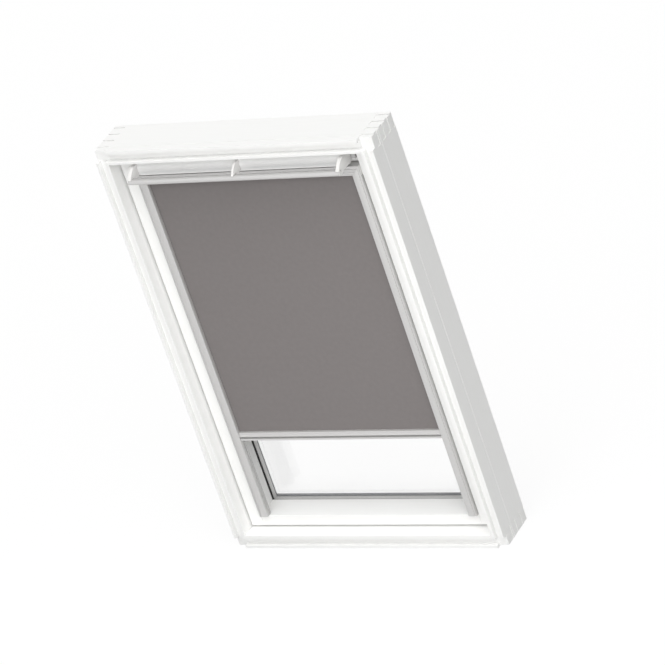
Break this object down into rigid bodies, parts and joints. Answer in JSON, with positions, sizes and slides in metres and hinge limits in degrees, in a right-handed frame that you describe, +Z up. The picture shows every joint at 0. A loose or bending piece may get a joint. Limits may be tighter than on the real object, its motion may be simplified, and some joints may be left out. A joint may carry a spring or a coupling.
{
  "type": "roof window with roller blind",
  "caption": "Centre-pivot timber roof window with a control bar and vent flap, fitted with a grey blackout roller blind in side rails.",
  "frame": {"origin": "centre of the sill's flat underside, at the frame's mid-width and mid-depth", "axes": "+Z up the slope from sill to head, +X to the right seen from the room, -Y to the room and +Y to the outside"},
  "size_m": [0.78, 0.1711, 1.18],
  "materials": {
    "painted_timber": "white water-based paint on laminated timber, satin",
    "silver_aluminium": "anodised silver extrusion",
    "outer_aluminium": "lacquered grey sheet",
    "blackout_cloth": "matte coated blackout cloth",
    "white_plastic": "white moulded plastic",
    "white_flap": "white lacquered extrusion",
    "black_rubber": "extruded seal",
    "zinc_steel": "zinc-plated steel",
    "clear_glass": "clear float glass",
    "foam": "open foam air filter"
  },
  "bodies": {
    "frame": {"frame_side_left": "painted_timber", "frame_side_right": "painted_timber", "frame_head": "painted_timber", "frame_sill": "painted_timber", "frame_pivot_left": "zinc_steel", "frame_pivot_right": "zinc_steel", "frame_seal": "black_rubber", "bolt_bush_upper": "white_plastic", "bolt_bush_lower": "white_plastic", "striker_plate": "zinc_steel", "frame_cover_left": "outer_aluminium", "frame_cover_right": "outer_aluminium", "frame_cover_bottom": "outer_aluminium", "frame_cover_top": "outer_aluminium"},
    "sash": {"sash_stile_left": "painted_timber", "sash_stile_right": "painted_timber", "sash_bottom_rail": "painted_timber", "sash_top_rail": "painted_timber", "sash_pivot_left": "zinc_steel", "sash_pivot_right": "zinc_steel", "glazing_gasket": "black_rubber", "glass_pane_inner": "clear_glass", "glass_pane_outer": "clear_glass", "glass_spacer": "silver_aluminium", "sash_cover_left": "outer_aluminium", "sash_cover_right": "outer_aluminium", "sash_cover_bottom": "outer_aluminium", "sash_cover_top": "outer_aluminium", "lock_case": "zinc_steel", "air_filter": "foam", "flap_bracket_left": "zinc_steel", "flap_bracket_right": "zinc_steel", "blind_rail_left": "silver_aluminium", "blind_rail_right": "silver_aluminium", "casing_front": "silver_aluminium", "casing_channel": "silver_aluminium", "casing_end_left": "white_plastic", "casing_end_right": "white_plastic", "casing_clip_left": "zinc_steel", "casing_clip_right": "zinc_steel", "blind_fabric": "blackout_cloth"},
    "vent_flap_and_bar": {"vent_flap": "white_flap", "control_bar": "silver_aluminium", "control_bar_cap_left": "white_plastic", "control_bar_cap_right": "white_plastic", "control_arm_left": "white_plastic", "control_arm_middle": "white_plastic", "control_arm_right": "white_plastic"},
    "lock_bolt": {"lock_bolt": "zinc_steel"},
    "barrel_bolt": {"barrel_bolt": "zinc_steel"},
    "blind_bottom": {"blind_bar": "silver_aluminium", "blind_glide_left": "white_plastic", "blind_glide_right": "white_plastic"},
    "roller": {"roller_tube": "silver_aluminium", "fabric_roll": "blackout_cloth", "roller_plug_idle": "white_plastic", "roller_plug_spring": "white_plastic", "roller_spring": "zinc_steel"}
  },
  "joints": [
    {"name": "sash_pivot", "type": "hinge", "parent": "frame", "child": "sash", "pos_m": [0, 0.0135, 0.59], "axis": [1, 0, 0], "range_deg": [0, 180]},
    {"name": "control_bar_hinge", "type": "hinge", "parent": "sash", "child": "vent_flap_and_bar", "pos_m": [0, -0.0245, 1.115], "axis": [1, 0, 0], "range_deg": [-10, 25]},
    {"name": "lock_bolt_slide", "type": "slide", "parent": "sash", "child": "lock_bolt", "axis": [0, 0, 1], "range_m": [-0.0226, 0.0091]},
    {"name": "barrel_bolt_slide", "type": "slide", "parent": "sash", "child": "barrel_bolt", "axis": [1, 0, 0], "range_m": [0, 0.009]},
    {"name": "blind_slide", "type": "slide", "parent": "sash", "child": "blind_bottom", "axis": [0, 0, 1], "range_m": [-0.229, 0.735], "deforming": ["blind_fabric"]},
    {"name": "roller_spin", "type": "hinge", "parent": "sash", "child": "roller", "pos_m": [0, -0.0161, 1.0773], "axis": [1, 0, 0], "range_deg": [-4600, 1440]}
  ],
  "couplings": [
    {"joint": "lock_bolt_slide", "follows": "control_bar_hinge", "m_per_rad": -0.05157},
    {"joint": "roller_spin", "follows": "blind_slide", "rad_per_m": -108.7}
  ]
}
